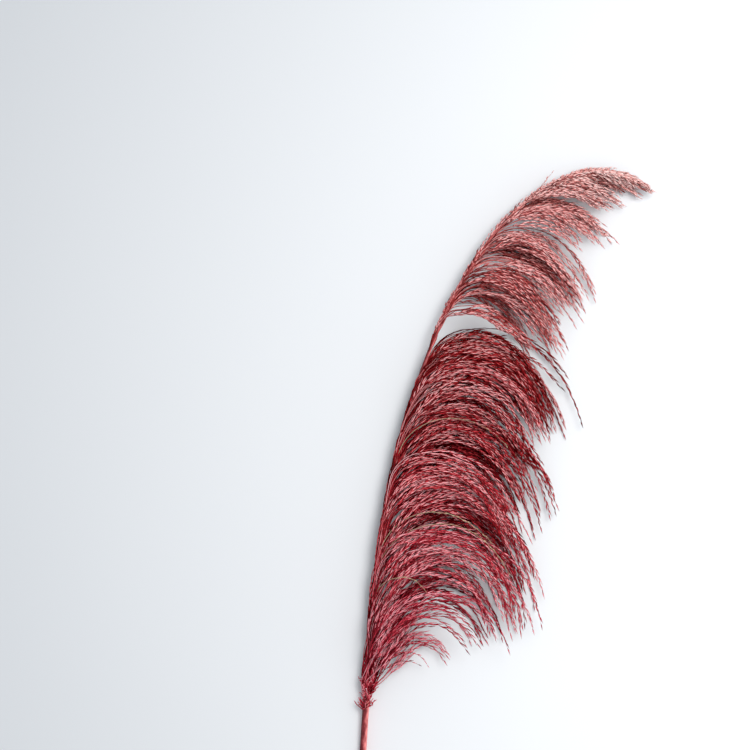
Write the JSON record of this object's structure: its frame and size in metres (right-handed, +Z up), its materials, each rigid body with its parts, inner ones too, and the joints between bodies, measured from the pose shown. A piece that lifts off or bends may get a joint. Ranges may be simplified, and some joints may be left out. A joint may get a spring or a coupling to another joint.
{
  "type": "pampas grass plume",
  "caption": "Dyed dried pampas grass plume, cut with its culm and lying on its side, the one-sided head of fine spikelet branches nodding over",
  "frame": {"origin": "under the middle of the plume's bounding box, on the surface that it lies on", "axes": "+Y up the culm from its cut end towards the head, +X towards the side that the head nods to, +Z up from the surface"},
  "size_m": [0.3202, 0.7974, 0.0642],
  "materials": {
    "stem": "dyed dry stalk, satin, fine lengthwise grain",
    "strands": "dyed dry spikelets, matt, crimson to dusty pink at the tip"
  },
  "bodies": {
    "root": {"stem": "stem", "lock_01": "strands", "lock_02": "strands", "lock_03": "strands", "lock_04": "strands", "lock_05": "strands", "lock_06": "strands", "lock_07": "strands", "lock_08": "strands", "lock_09": "strands", "lock_10": "strands", "lock_11": "strands", "lock_12": "strands", "lock_13": "strands", "lock_14": "strands", "lock_15": "strands", "lock_16": "strands", "lock_17": "strands", "lock_18": "strands", "lock_19": "strands", "lock_20": "strands", "lock_21": "strands", "lock_22": "strands", "lock_23": "strands", "lock_24": "strands", "lock_25": "strands", "lock_26": "strands", "lock_27": "strands", "lock_28": "strands", "lock_29": "strands", "lock_30": "strands", "lock_31": "strands", "lock_32": "strands", "lock_33": "strands", "lock_34": "strands", "lock_35": "strands", "lock_36": "strands", "lock_37": "strands"}
  },
  "joints": []
}
